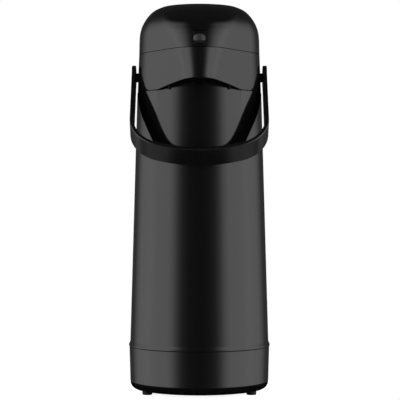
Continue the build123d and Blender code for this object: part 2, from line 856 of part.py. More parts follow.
def pump():
    """The bellows between the inner cover and the pusher, the ring that holds it and the return spring."""
    flange_top = cover_top + bellows_flange
    fold = (pusher_height - flange_top - bellows_flange) / bellows_folds
    flange_radius = skirt_inner - seat_gap
    outer = [(flange_radius, cover_top), (flange_radius, flange_top)]
    inner = [(bellows_inner - bellows_wall, cover_top)]
    height = flange_top
    for number in range(bellows_folds):
        outer.append((bellows_inner, height))
        outer.append((bellows_outer - bellows_wall, height + fold / 2))
        inner.append((bellows_inner - bellows_wall, height))
        inner.append((bellows_outer - 2 * bellows_wall, height + fold / 2))
        height += fold
    outer.append((bellows_inner, height))
    outer.append((bellows_inner, pusher_height))
    inner.append((bellows_inner - bellows_wall, height))
    inner.append((bellows_inner - bellows_wall, pusher_height))
    save(turned(*outer, *reversed(inner)), "pump_bellows")

    clamp = rod(flange_radius, flange_top, flange_top + clamp_height)
    clamp -= rod(bellows_outer, flange_top - over, flange_top + clamp_height + over)
    save(clamp, "bellows_clamp")

    length = pusher_height - cover_top - spring_wire - 2 * seat_gap
    coil = Helix(length / spring_turns, length, spring_radius)
    start = Plane(origin=coil @ 0, z_dir=coil % 0)
    wire = RegularPolygon(spring_wire / 2, spring_wire_sides)
    spring = sweep(start * wire, path=coil, is_frenet=True)
    save(Pos(0, 0, cover_top + spring_wire / 2 + seat_gap) * spring, "return_spring")


def button():
    """The round pump button, with the recess and slots for its lock and the lips that hold it in the well."""
    cap = rod(button_radius, button_skirt_bottom, button_top)
    cap = fillet(cap.edges().sort_by(Axis.Z)[-1], button_edge)
    cap -= rod(skirt_inner, button_skirt_bottom - over, button_plate_low)
    lip = rod(button_radius + button_lip, button_skirt_bottom, button_skirt_bottom + button_lip_height)
    lip -= rod(button_radius - button_wall / 2, 0, far)
    lip &= block((0, far), (-button_lip_half_width, button_lip_half_width), (0, far))
    for angle in button_lip_angles:
        cap += Rot(0, 0, angle) * lip
    wide, long, deep = lock_recess
    cap -= block(
        (-wide / 2, wide / 2),
        (-lock_place - long / 2, -lock_place + long / 2),
        (button_top - deep, button_top + over),
    )
    stem = lock_stem / 2 + slide_gap
    reach = lock_travel / 2 + stem
    cap -= block(
        (-stem, stem),
        (-lock_place - reach, -lock_place + reach),
        (button_plate_low - over, button_top),
    )
    bolt_half = lock_bolt[0] / 2 + slide_gap
    cap -= block(
        (-bolt_half, bolt_half),
        (-far, -button_radius / 2),
        (bolt_low - slide_gap, button_plate_low),
    )
    save(cap, "pump_button")


def lock():
    """The slide that locks the button down: a knob in the recess, its post, and the bolt under the plate."""
    knob_wide, knob_long, knob_high = lock_knob
    bolt_half = lock_bolt[0] / 2
    stem = lock_stem / 2
    middle = -lock_place - lock_travel / 2
    knob_low = button_top - lock_recess[2] + seat_gap / 2
    knob_top = knob_low + knob_high
    slide = block(
        (-knob_wide / 2, knob_wide / 2),
        (middle - knob_long / 2, middle + knob_long / 2),
        (knob_low, knob_top),
    )
    slide += block((-stem, stem), (middle - stem, middle + stem), (bolt_low, knob_top - knob_high / 2))
    bolt = block((-bolt_half, bolt_half), (-far, middle + 2 * stem), (bolt_low, bolt_high))
    save(slide + (bolt & rod(skirt_inner - bolt_rest, 0, far)), "lock_slide")


def pusher():
    """The plate that the button presses on the bellows with, and its air intake flap."""
    plate_top = pusher_height + pusher_plate_thick
    hub_top = bolt_low - slide_gap
    plate = rod(pusher_radius, pusher_height, plate_top) + rod(pusher_hub_radius, pusher_height, hub_top)
    plate -= rod(pusher_hub_radius - pusher_hub_wall, plate_top, hub_top + over)
    rib = block(
        (pusher_hub_radius - pusher_hub_wall / 2, pusher_radius - 2 * pusher_play),
        (-pusher_rib_half, pusher_rib_half),
        (plate_top - over, button_plate_low),
    )
    for angle in pusher_rib_angles:
        plate += Rot(0, 0, angle) * rib
    plate -= rod(intake_radius, pusher_height - over, plate_top + over)
    save(plate, "pusher_plate")
    save(rod(intake_flap_radius, pusher_height - flap_thick, pusher_height), "intake_flap")


def latch():
    """The lid's latch: a scooped thumb pad flush with the lid, its arm, its hook and its foot."""
    half = latch_width / 2 - slide_gap
    pad = block((-half, half), (-far, -head_seam_radius), (latch_low + slide_gap, latch_high - slide_gap))
    pad &= lid_form(seat_gap)
    pad -= lid_form(lid_wall + latch_pad)
    middle = (latch_low + latch_high) / 2 + scoop_lift
    arm = latch_arm_width / 2
    back = latch_arm_front - latch_arm_depth
    hook_low = deck_top + catch_plate
    pad += block((-arm, arm), (-latch_arm_front, -back), (hook_low, latch_low + latch_stalk_rise))
    pad -= Pos(0, -lid_reach(middle) - scoop_radius + scoop_depth, middle) * Sphere(scoop_radius)
    hook = block((-arm, arm), (-latch_arm_front - latch_hook, -back), (hook_low, hook_low + latch_hook_plate))
    foot_low = cover_top + slide_gap
    foot = block(
        (-arm, arm),
        (-back - slide_gap, -latch_arm_front + latch_foot_length),
        (foot_low, foot_low + latch_foot_plate),
    )
    save(pad + hook + foot, "lid_latch")


def strap_face(shift):
    """One face of the bail's strap, from eye to eye, with the pivots at height 0 and the crossbar below."""
    middle = handle_inner_face + handle_thick / 2
    corner_x = middle - handle_corner
    big_centre = handle_reach - handle_bottom_arc
    corner_drop = big_centre + math.sqrt((handle_bottom_arc - handle_corner) ** 2 - corner_x ** 2)
    turn = math.atan2(corner_x, corner_drop - big_centre)
    halfway = (math.pi / 2 + turn) / 2
    radius = handle_corner + shift
    big = handle_bottom_arc + shift
    corner = (middle + shift, -corner_drop)
    bend = (corner_x + radius * math.sin(halfway), -corner_drop - radius * math.cos(halfway))
    joint = (big * math.sin(turn), -big_centre - big * math.cos(turn))
    right = [Line((middle + shift, 0), corner), ThreePointArc(corner, bend, joint)]
    left = [mirror(edge, Plane.YZ) for edge in right]
    bottom = ThreePointArc(joint, (0, -handle_reach - shift), (-joint[0], joint[1]))
    return right + left + [bottom]


def handle():
    """The bail: a flat strap bent to a U, with a round eye at each end."""
    inner_x = handle_inner_face
    outer_x = handle_outer_face
    half = handle_width / 2
    ends = [Line((inner_x, 0), (outer_x, 0)), Line((-inner_x, 0), (-outer_x, 0))]
    face = make_face(strap_face(-handle_thick / 2) + strap_face(handle_thick / 2) + ends)
    strap = extrude(Plane.XZ.offset(-half) * face, amount=handle_width)
    edges = strap.edges().filter_by(lambda edge: abs(abs(edge.center().Y) - half) < run_gap)
    strap = fillet(edges.filter_by(lambda edge: edge.center().Z < -over), handle_edge)
    eye = cross_rod(handle_eye_radius, inner_x, outer_x, 0, 0)
    eye = chamfer(eye.edges().filter_by(GeomType.CIRCLE), handle_eye_chamfer)
    sink_face = outer_x - pivot_head_thick - seat_gap / 2
    sink = cross_rod(pivot_head_radius + slide_gap / 2, sink_face, outer_x + over, 0, 0)
    sink += cross_rod(pivot_radius + run_gap, inner_x - over, outer_x + over, 0, 0)
    strap = strap + eye + mirror(eye, Plane.YZ) - sink - mirror(sink, Plane.YZ)
    save(Pos(0, 0, pivot_height) * Rot(-handle_tilt, 0, 0) * strap, "carry_handle")


base()
body()
liner()
neck()
head()
head_pieces()
drink_path()
lid()
pump()
button()
lock()
pusher()
latch()
handle()
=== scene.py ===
# %% [markdown]
# # An airpot in polished black plastic
#
# The frame holds the pump flask as it was constructed: every shell, pin, seal and glass wall at its real
# size, in metres, standing on z = 0 with the spout towards -Y. This lesson dresses that frame. The large
# glossy skins are rebuilt as fine meshes, because a mirror finish shows every facet, and each finish is a
# node material. Nothing here moves or resizes the frame: wherever a piece has to meet another, its sizes
# are given as numbers that match the frame.

import json
import math

import bmesh
import bpy
from mathutils import Matrix, Vector


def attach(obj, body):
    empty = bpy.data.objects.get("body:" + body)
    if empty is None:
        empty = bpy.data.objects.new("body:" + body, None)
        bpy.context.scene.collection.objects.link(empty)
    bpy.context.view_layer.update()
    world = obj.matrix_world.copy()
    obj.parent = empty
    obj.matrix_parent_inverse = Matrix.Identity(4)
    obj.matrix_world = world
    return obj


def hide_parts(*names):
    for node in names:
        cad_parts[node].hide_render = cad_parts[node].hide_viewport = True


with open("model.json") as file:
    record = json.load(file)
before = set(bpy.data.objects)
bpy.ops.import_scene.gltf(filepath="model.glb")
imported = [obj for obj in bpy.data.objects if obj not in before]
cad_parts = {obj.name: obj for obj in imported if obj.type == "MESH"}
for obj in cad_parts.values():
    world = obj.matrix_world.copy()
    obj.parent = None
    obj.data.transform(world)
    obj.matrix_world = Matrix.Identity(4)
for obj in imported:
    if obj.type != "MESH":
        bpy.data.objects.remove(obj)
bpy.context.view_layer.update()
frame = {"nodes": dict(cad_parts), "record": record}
MM = 0.001

# %% [markdown]
# ## The camera
#
# The photograph is a studio product shot on white. Its verticals stay parallel and the base curves down
# while the crown curves up, so the camera looks level, from about the flask's middle height. A long lens
# at 1.35 m gives the same small curvature in both. The picture is 400 pixels wide, and one pixel is 0.9 mm
# at the flask's axis.

# %% Camera
PIXEL = 0.9 * MM
PHOTO_SIZE = 400
PHOTO_AXIS_COLUMN = 199.35
PHOTO_HORIZON_ROW = 200.0
PHOTO_TABLE_ROW = 390.8
CAMERA_DISTANCE = 1.35
SENSOR = 36.0


def add_camera():
    """A level camera in front of the flask, framed like the photograph."""
    data = bpy.data.cameras.new("photo_camera")
    data.sensor_width = SENSOR
    data.lens = SENSOR * CAMERA_DISTANCE / (PHOTO_SIZE * PIXEL)
    camera = bpy.data.objects.new("photo_camera", data)
    side = (PHOTO_SIZE / 2 - PHOTO_AXIS_COLUMN) * PIXEL
    height = (PHOTO_TABLE_ROW - PHOTO_HORIZON_ROW) * PIXEL
    camera.location = (side, -CAMERA_DISTANCE, height)
    camera.rotation_euler = (math.pi / 2, 0, 0)
    bpy.context.collection.objects.link(camera)
    bpy.context.scene.camera = camera
    print("lens", round(data.lens, 1), "height", round(height, 4))


add_camera()
bpy.context.scene.view_settings.view_transform = "Standard"

# %% [markdown]
# ## Noise and wear that several finishes share
#
# Moulded plastic is never one flat value. Three effects come back on this object: the faint ripple that a
# mould leaves in polished plastic, the hair-fine rubbing marks that handling adds, and the soft grain of
# satin parts. Each is a node group with its own inputs, built once, so that every finish can use it at its
# own strength. A group puts out only values, masks and normals; the shader itself stays in the material.

# %% Node group helpers
def new_group(name, inputs, outputs):
    """An empty shader node group with named float, vector or colour sockets."""
    group = bpy.data.node_groups.new(name, "ShaderNodeTree")
    for label, kind, value in inputs:
        socket = group.interface.new_socket(name=label, in_out="INPUT", socket_type=kind)
        if value is not None:
            socket.default_value = value
    for label, kind in outputs:
        group.interface.new_socket(name=label, in_out="OUTPUT", socket_type=kind)
    return group, group.nodes.new("NodeGroupInput"), group.nodes.new("NodeGroupOutput")


def math_node(tree, operation, first, second=None, clamp=False):
    """One arithmetic node; each argument is a socket or a number."""
    node = tree.nodes.new("ShaderNodeMath")
    node.operation = operation
    node.use_clamp = clamp
    for slot, value in enumerate((first, second)):
        if value is None:
            continue
        if isinstance(value, (int, float)):
            node.inputs[slot].default_value = value
        else:
            tree.links.new(value, node.inputs[slot])
    return node.outputs[0]


def noise_node(tree, vector, scale, detail=2.0, roughness=0.5):
    """A noise texture in object space; the scale is a socket or a number per metre."""
    node = tree.nodes.new("ShaderNodeTexNoise")
    node.inputs["Detail"].default_value = detail
    node.inputs["Roughness"].default_value = roughness
    tree.links.new(vector, node.inputs["Vector"])
    if isinstance(scale, (int, float)):
        node.inputs["Scale"].default_value = scale
    else:
        tree.links.new(scale, node.inputs["Scale"])
    return node.outputs["Fac"]


# %% Mould ripple, rubbing marks and grain
MARK_STRETCH = (1.0, 1.0, 0.06)
MARK_TURN = (0.3, 0.5, 0.2)
MARK_LIMIT = 0.66
PATCHES_PER_METRE = 35.0


def mould_ripple_group():
    """Height of the slow ripple in polished plastic, in metres, for a Bump node."""
    group, source, result = new_group(
        "mould_ripple",
        [("Vector", "NodeSocketVector", None), ("Waves per metre", "NodeSocketFloat", 60.0),
         ("Depth", "NodeSocketFloat", 1e-6)],
        [("Height", "NodeSocketFloat")],
    )
    slow = noise_node(group, source.outputs["Vector"], source.outputs["Waves per metre"], 1.0)
    height = math_node(group, "MULTIPLY", slow, source.outputs["Depth"])
    group.links.new(height, result.inputs["Height"])
    return group


def rubbing_marks_group():
    """A mask of hair-fine marks running every way, with clean areas between them."""
    group, source, result = new_group(
        "rubbing_marks",
        [("Vector", "NodeSocketVector", None), ("Scale", "NodeSocketFloat", 900.0),
         ("Amount", "NodeSocketFloat", 0.5)],
        [("Mask", "NodeSocketFloat")],
    )
    bend = group.nodes.new("ShaderNodeMapping")
    bend.inputs["Scale"].default_value = MARK_STRETCH
    bend.inputs["Rotation"].default_value = MARK_TURN
    group.links.new(source.outputs["Vector"], bend.inputs["Vector"])
    lines = noise_node(group, bend.outputs["Vector"], source.outputs["Scale"], 3.0, 0.6)
    patches = noise_node(group, source.outputs["Vector"], PATCHES_PER_METRE, 2.0)
    thin = math_node(group, "GREATER_THAN", lines, MARK_LIMIT)
    where = math_node(group, "MULTIPLY", thin, patches)
    mask = math_node(group, "MULTIPLY", where, source.outputs["Amount"], clamp=True)
    group.links.new(mask, result.inputs["Mask"])
    return group


def fine_grain_group():
    """Height of the soft, even grain of satin moulded plastic and rubber."""
    group, source, result = new_group(
        "fine_grain",
        [("Vector", "NodeSocketVector", None), ("Grains per metre", "NodeSocketFloat", 2500.0),
         ("Depth", "NodeSocketFloat", 1e-5)],
        [("Height", "NodeSocketFloat")],
    )
    cells = group.nodes.new("ShaderNodeTexVoronoi")
    group.links.new(source.outputs["Vector"], cells.inputs["Vector"])
    group.links.new(source.outputs["Grains per metre"], cells.inputs["Scale"])
    height = math_node(group, "MULTIPLY", cells.outputs["Distance"], source.outputs["Depth"])
    group.links.new(height, result.inputs["Height"])
    return group


mould_ripple = mould_ripple_group()
rubbing_marks = rubbing_marks_group()
fine_grain = fine_grain_group()

# %% [markdown]
# ## Finishes
#
# The flask is polished black plastic. Its own colour is almost black, and what the eye reads as grey is
# the mirror image of the studio lamps, so the clear shape of a highlight matters more than the colour.
# The handle is a shade more satin. Rubber, natural polypropylene, glass and steel show at the feet and
# when the lid is open.

# %% Material builder
CLOUDS_PER_METRE = 45.0
ROUGHNESS_LOW = 0.9
ROUGHNESS_SPREAD = 0.2
MARK_ROUGHNESS = 0.25


def finish(name, color, roughness, ripple=0.0, grain=0.0, marks=0.0, metallic=0.0, ior=1.5, tint=0.12):
    """A node material: tinted base colour, marked roughness, and ripple and grain as bump."""
    material = bpy.data.materials.new(name)
    material.use_nodes = True
    material.diffuse_color = (*color, 1.0)
    tree = material.node_tree
    shader = tree.nodes["Principled BSDF"]
    shader.inputs["IOR"].default_value = ior
    shader.inputs["Metallic"].default_value = metallic
    place = tree.nodes.new("ShaderNodeTexCoord").outputs["Object"]

    cloud = noise_node(tree, place, CLOUDS_PER_METRE, 3.0)
    blend = tree.nodes.new("ShaderNodeMix")
    blend.data_type = "RGBA"
    blend.inputs["A"].default_value = (*[c * (1 - tint) for c in color], 1)
    blend.inputs["B"].default_value = (*[min(1.0, c * (1 + tint)) for c in color], 1)
    tree.links.new(cloud, blend.inputs["Factor"])
    tree.links.new(blend.outputs["Result"], shader.inputs["Base Color"])

    scratch = tree.nodes.new("ShaderNodeGroup")
    scratch.node_tree = rubbing_marks
    scratch.inputs["Amount"].default_value = marks
    tree.links.new(place, scratch.inputs["Vector"])
    uneven = math_node(tree, "MULTIPLY", cloud, roughness * ROUGHNESS_SPREAD)
    base = math_node(tree, "ADD", uneven, roughness * ROUGHNESS_LOW)
    worn = math_node(tree, "MULTIPLY", scratch.outputs["Mask"], MARK_ROUGHNESS)
    tree.links.new(math_node(tree, "ADD", base, worn, clamp=True), shader.inputs["Roughness"])

    wave = tree.nodes.new("ShaderNodeGroup")
    wave.node_tree = mould_ripple
    wave.inputs["Depth"].default_value = ripple
    tree.links.new(place, wave.inputs["Vector"])
    pebble = tree.nodes.new("ShaderNodeGroup")
    pebble.node_tree = fine_grain
    pebble.inputs["Depth"].default_value = grain
    tree.links.new(place, pebble.inputs["Vector"])
    bump = tree.nodes.new("ShaderNodeBump")
    bump.inputs["Distance"].default_value = 1.0
    relief = math_node(tree, "ADD", wave.outputs["Height"], pebble.outputs["Height"])
    tree.links.new(relief, bump.inputs["Height"])
    tree.links.new(bump.outputs["Normal"], shader.inputs["Normal"])
    return material


# %% The finishes of this airpot
def glass_finish():
    """Clear liner glass with a faint waviness."""
    material = finish("liner_glass", (0.85, 0.9, 0.9), 0.02, ripple=4e-6, ior=1.47, tint=0.02)
    material.node_tree.nodes["Principled BSDF"].inputs["Transmission Weight"].default_value = 1.0
    return material


BLACK = (0.0052, 0.0052, 0.0056)
FINISHES = {
    "shell_black": finish("shell_black", BLACK, 0.10, ripple=1.5e-6, marks=0.2),
    "button_black": finish("button_black", BLACK, 0.13, ripple=1.5e-6, marks=0.6),
    "handle_black": finish("handle_black", (0.0050, 0.0050, 0.0053), 0.22, grain=2e-6, marks=0.8),
    "inner_black": finish("inner_black", (0.014, 0.014, 0.015), 0.42, grain=6e-6, marks=0.3),
    "mouth_plastic": finish("mouth_plastic", (0.62, 0.62, 0.57), 0.38, grain=4e-6, marks=0.4, tint=0.05),
    "pipe_plastic": finish("pipe_plastic", (0.70, 0.71, 0.67), 0.30, grain=3e-6, tint=0.05),
    "liner_glass": glass_finish(),
    "silvered_glass": finish("silvered_glass", (0.86, 0.87, 0.88), 0.05, ripple=4e-6, metallic=1.0,
                             tint=0.02),
    "seal_rubber": finish("seal_rubber", (0.42, 0.42, 0.39), 0.60, grain=8e-6, tint=0.08),
    "bellows_rubber": finish("bellows_rubber", (0.022, 0.022, 0.024), 0.55, grain=8e-6, tint=0.2),
    "foot_rubber": finish("foot_rubber", (0.012, 0.012, 0.012), 0.70, grain=1.2e-5, tint=0.25),
    "spring_steel": finish("spring_steel", (0.55, 0.55, 0.54), 0.28, marks=0.9, metallic=1.0, tint=0.06),
}
# Painted highlight: a paler satin grey for the upper faces of the latch's scoop, where the hollow catches the
# lamps.
scoop_painted_highlight = finish("scoop_painted_highlight", (0.044, 0.044, 0.045), 0.48, grain=3e-6, marks=0.4)
slot_of = {part["node"]: part["material_slot"] for part in frame["record"]["subparts"]}
for node_name, node in frame["nodes"].items():
    node.data.materials.clear()
    node.data.materials.append(FINISHES[slot_of[node_name]])
print("finishes", len(FINISHES))

# %% [markdown]
# ## Meshes made from outlines
#
# A moulded pot is a few closed skins, each a stack of equal outlines. One helper joins the outlines into a
# skin, one rounds the corners of a section, because real moulded edges catch a thin line of light, and one
# turns a section about an upright axis. A fourth carries a section along X, for knuckles and bosses.

# %% Skin helpers
WELD = 1e-6
SHORTEST_EDGE = 1e-7
SPOKES = 192
EDGE_SHARE = 0.3


def link_mesh(name, points, faces, finish_name, body, stands_for=(), sharp=35):
    """Links a mesh, welds doubled points, shades it smooth up to an angle and gives it its body."""
    mesh = bpy.data.meshes.new(name)
    mesh.from_pydata(points, [], faces)
    thing = bpy.data.objects.new(name, mesh)
    bpy.context.collection.objects.link(thing)
    work = bmesh.new()
    work.from_mesh(mesh)
    bmesh.ops.remove_doubles(work, verts=work.verts, dist=WELD)
    bmesh.ops.dissolve_degenerate(work, edges=work.edges, dist=SHORTEST_EDGE)
    bmesh.ops.recalc_face_normals(work, faces=work.faces)
    work.to_mesh(mesh)
    work.free()
    mesh.shade_smooth()
    mesh.set_sharp_from_angle(angle=math.radians(sharp))
    dress(thing, finish_name, body, stands_for)
    return thing


def dress(thing, finish_name, body, stands_for=()):
    """Gives a piece its finish and its body, and hides the frame nodes that it stands for."""
    thing.data.materials.clear()
    thing.data.materials.append(FINISHES[finish_name])
    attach(thing, body)
    if stands_for:
        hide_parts(*stands_for)


def skin_faces(rows, count, closed):
    """Faces between rows of equal outlines; a closed skin joins its last row to its first."""
    faces = []
    for row in range(rows if closed else rows - 1):
        upper = (row + 1) % rows
        for step in range(count):
            after = (step + 1) % count
            faces.append((row * count + step, row * count + after,
                          upper * count + after, upper * count + step))
    return faces


def skin(name, loops, finish_name, body, stands_for=(), closed=True):
    """A mesh through equal outlines; an open stack gets a flat face at each end."""
    points = [point for loop in loops for point in loop]
    count = len(loops[0])
    faces = skin_faces(len(loops), count, closed)
    if not closed:
        faces.append(tuple(range(count)))
        faces.append(tuple(range(len(points) - count, len(points))))
    return link_mesh(name, points, faces, finish_name, body, stands_for)


def rounded(corners, steps=5):
    """A closed section with rounded corners; each corner is (across, up, radius)."""
    result = []
    for index, (across, up, radius) in enumerate(corners):
        here = Vector((across, up))
        if radius == 0:
            result.append(here)
            continue
        back = (Vector(corners[index - 1][:2]) - here).normalized()
        on = (Vector(corners[(index + 1) % len(corners)][:2]) - here).normalized()
        half = back.angle(on) / 2
        centre = here + (back + on).normalized() * radius / math.sin(half)
        first = here + back * radius / math.tan(half) - centre
        turn = 1 if back.x * on.y - back.y * on.x < 0 else -1
        for step in range(steps + 1):
            spoke = first.copy()
            spoke.rotate(Matrix.Rotation(turn * (math.pi - 2 * half) * step / steps, 2))
            result.append(centre + spoke)
    return result


def finer(section, longest):
    """Adds points on the long stretches of a closed section."""
    result = []
    for index, here in enumerate(section):
        after = section[(index + 1) % len(section)]
        spans = max(1, math.ceil((after - here).length / longest))
        result.extend(here.lerp(after, span / spans) for span in range(spans))
    return result


def even_spokes():
    """Evenly spread angles for a turned piece."""
    return [2 * math.pi * step / SPOKES for step in range(SPOKES)]


def lathe(name, section, finish_name, body, stands_for=(), spokes=None):
    """Turns a closed (radius, height) section in millimetres about the flask's axis."""
    spokes = spokes or even_spokes()
    of_angle = section if callable(section) else lambda angle: section
    loops = [[(p.x * math.cos(angle) * MM, p.x * math.sin(angle) * MM, p.y * MM) for p in of_angle(angle)]
             for angle in spokes]
    return skin(name, loops, finish_name, body, stands_for)


def bar_along_x(name, section, ends, edge, finish_name, body, stands_for=()):
    """A (y, z) section in millimetres carried along X between two ends, with rounded end edges."""
    centre = sum(section, Vector((0, 0))) / len(section)
    size = max((p - centre).length for p in section)
    low, high = ends
    loops = []
    part = EDGE_SHARE * edge
    for x, drop in ((low, edge), (low + part, part), (low + edge, 0.0),
                    (high - edge, 0.0), (high - part, part), (high, edge)):
        share = 1 - drop / size
        loops.append([(x * MM, (centre.x + (p.x - centre.x) * share) * MM,
                       (centre.y + (p.y - centre.y) * share) * MM) for p in section])
    return skin(name, loops, finish_name, body, stands_for, False)


def disc(centre, radius, count=40):
    """A round (y, z) section."""
    return [Vector((centre[0] + radius * math.cos(2 * math.pi * n / count),
                    centre[1] + radius * math.sin(2 * math.pi * n / count))) for n in range(count)]


def hull(points):
    """The convex outline round some (y, z) points, by walking both sides in order."""
    ordered = sorted({(round(p[0], 5), round(p[1], 5)) for p in points})
    sides = []
    for run in (ordered, ordered[::-1]):
        side = []
        for p in run:
            while len(side) > 1 and ((side[-1][0] - side[-2][0]) * (p[1] - side[-2][1])
                                     - (side[-1][1] - side[-2][1]) * (p[0] - side[-2][0])) <= 0:
                side.pop()
            side.append(p)
        sides += side[:-1]
    return [Vector(p) for p in sides]


# %% [markdown]
# ## The body and the base
#
# The body is a cone that loses 6 mm of radius on the way up, with a flared lip where it meets the base cap.
# Both are turned about the axis. The rounded lip is what draws the fine bright and dark lines near the
# foot, so its small radii are modelled and not painted. Behind the beak the shell rises in a tongue, which
# closes the gap that the arch of the head leaves open.

# %% Sizes of the body and base, in millimetres
BASE_JOINT = 41.0
BODY_TOP = 267.6
BODY_LOW_RADIUS = 62.0
BODY_TOP_RADIUS = 55.7
BODY_WALL = 2.2
FLARE = 4.4
LIP_RADIUS = 63.2
LIP_HEIGHT = 1.4
TONGUE_ANGLE = 40.0
TONGUE_TOP = 278.5
TONGUE_STEP = 0.2
TONGUE_BLEND = 0.5
TONGUE_EDGE = 0.0004
BASE_TOP_RADIUS = 62.8
BASE_LOW_RADIUS = 61.75
BASE_BOTTOM = 2.9
BASE_CORNER = 6.5
BASE_CORNER_OUT = 0.2
BASE_CORNER_TOP = 7.5
BASE_SHELF = 38.0
BASE_INSIDE = [(60.0, 33.0, 0), (59.3, 8.3, 1.5), (57.0, 5.9, 0), (0.0, 5.9, 0)]
JOINT_GAP = 0.05
SPIGOT_RADIUS = 59.6
SPIGOT_WALL = 1.9
SPIGOT_HEIGHT = 8.0
BODY_GRID = 12.0
BASE_GRID = 10.0


def body_radius(height):
    """Outside radius of the tapered body at a height."""
    low = BASE_JOINT + FLARE
    return BODY_LOW_RADIUS + (BODY_TOP_RADIUS - BODY_LOW_RADIUS) * (height - low) / (BODY_TOP - low)


# %% Body shell
def body_section(angle):
    """Half section of the shell; near the beak it goes on above the joint as the tongue."""
    inside = BODY_TOP_RADIUS - BODY_WALL
    wall = finer(rounded([
        (body_radius(BASE_JOINT) - BODY_WALL, BASE_JOINT, 0.3),
        (LIP_RADIUS, BASE_JOINT, 0.6),
        (LIP_RADIUS, BASE_JOINT + LIP_HEIGHT + 0.3, 0.9),
        (BODY_LOW_RADIUS, BASE_JOINT + FLARE, 3.0),
        (BODY_TOP_RADIUS, BODY_TOP, 0.3),
        (inside, BODY_TOP, 0),
    ]), BODY_GRID)
    turn = math.degrees(math.atan2(math.cos(angle), -math.sin(angle)))
    tongue = abs(turn) < TONGUE_ANGLE
    top = TONGUE_TOP if tongue else BODY_TOP
    outer = body_radius(top) - TONGUE_STEP
    step = Vector((BODY_TOP_RADIUS - TONGUE_STEP, BODY_TOP))
    last = next(index for index, p in enumerate(wall) if (p - Vector((inside, BODY_TOP))).length < WELD)
    if tongue:
        wall[:last] = [p if p.y < BODY_TOP - TONGUE_BLEND else Vector((body_radius(p.y) - TONGUE_STEP, p.y))
                       for p in wall[:last]]
    rise = [step, Vector((outer, top)), Vector((min(inside, outer - 1), top))]
    return wall[:last] + rise + wall[last:]


def body_spokes():
    """Even spokes, with close pairs at the tongue's two edges so that they stay crisp."""
    spokes = even_spokes()
    for side in (-1, 1):
        edge = math.radians(270 + side * TONGUE_ANGLE)
        spokes += [edge - TONGUE_EDGE, edge + TONGUE_EDGE]
    return sorted(spokes)


def base_section():
    """Half section of the base cap, with the spigot that stands inside the body."""
    return finer(rounded([
        (0.0, BASE_BOTTOM, 0),
        (BASE_LOW_RADIUS, BASE_BOTTOM, BASE_CORNER),
        (BASE_LOW_RADIUS + BASE_CORNER_OUT, BASE_BOTTOM + BASE_CORNER_TOP, 0),
        (BASE_TOP_RADIUS, BASE_JOINT - JOINT_GAP, 0.45),
        (SPIGOT_RADIUS, BASE_JOINT - JOINT_GAP, 0),
        (SPIGOT_RADIUS, BASE_JOINT + SPIGOT_HEIGHT, 0.3),
        (SPIGOT_RADIUS - SPIGOT_WALL, BASE_JOINT + SPIGOT_HEIGHT, 0.3),
        (SPIGOT_RADIUS - SPIGOT_WALL, BASE_SHELF, 0),
    ] + BASE_INSIDE), BASE_GRID)


body_shell = lathe("body_shell", body_section, "shell_black", "flask", ["outer_body"], body_spokes())
base_shell = lathe("base_shell", base_section(), "shell_black", "flask", ["base_cap"])
print("body faces", len(body_shell.data.polygons), "base faces", len(base_shell.data.polygons))

# %% [markdown]
# ## The head: outlines that grow a beak
#
# Seen from above, the head is a circle around the flask's axis and a smaller circle out over the spout,
# joined by their common tangents. Higher up the nose widens and draws back until nothing but the round
# crown is left. The same function gives the outline at every height, always with the same number of
# points, and with grid lines at the latch's two sides, so that its window can be cut along the grid.

# %% Head outline
BACK_POINTS = 120
FLANK_POINTS = 26
NOSE_POINTS = 18
WINDOW_POINTS = 10
WINDOW_HALF = 5.5
SEAM = 301.9
SEAM_GAP = 0.4
HEAD_LOW_RADIUS = 55.4
HEAD_SEAM_RADIUS = 54.1
BEAK_LOW_REACH = 90.0
BEAK_SEAM_REACH = 78.5
BEAK_LOW_NOSE = 14.0
BEAK_SEAM_NOSE = 24.9
HEAD_WALL = 2.2
WIDEST_WINDOW = 0.9
NOSE_START = BACK_POINTS + FLANK_POINTS
WINDOW_START = NOSE_START + NOSE_POINTS


def arc(centre, radius, first, last, count):
    """Plan points on an arc, without its last one."""
    return [Vector((centre[0] + radius * math.cos(first + (last - first) * n / count),
                    centre[1] + radius * math.sin(first + (last - first) * n / count))) for n in range(count)]


def head_outline(radius, reach, nose):
    """Plan points in millimetres, anticlockwise from the right flank's back end."""
    centre = (0, -(reach - nose))
    lean = math.acos(max(-1.0, min(1.0, (radius - nose) / (reach - nose))))
    front = -math.pi / 2
    window = math.asin(min(WIDEST_WINDOW, WINDOW_HALF / nose))
    back = arc((0, 0), radius, front + lean, front - lean + 2 * math.pi, BACK_POINTS)
    back_end = Vector((-radius * math.sin(lean), -radius * math.cos(lean)))
    nose_end = Vector((-nose * math.sin(lean), centre[1] - nose * math.cos(lean)))
    left = [back_end.lerp(nose_end, n / FLANK_POINTS) for n in range(FLANK_POINTS)]
    right = [nose_end.lerp(back_end, n / FLANK_POINTS) for n in range(FLANK_POINTS)]
    right = [Vector((-p.x, p.y)) for p in right]
    tip = arc(centre, nose, front - lean, front - window, NOSE_POINTS)
    tip += arc(centre, nose, front - window, front + window, WINDOW_POINTS)
    tip += arc(centre, nose, front + window, front + lean, NOSE_POINTS)
    return back + left + tip + right


# %% [markdown]
# ### The housing below the seam
#
# Its front lower edge rises in a shallow bell, so that a cup can stand close under the spout. The edge is
# made by lifting the wall, most at the bottom and not at all at the seam. The bosses for the handle, the
# outer knuckles of the hinge and the catch behind the beak belong to the same moulding.

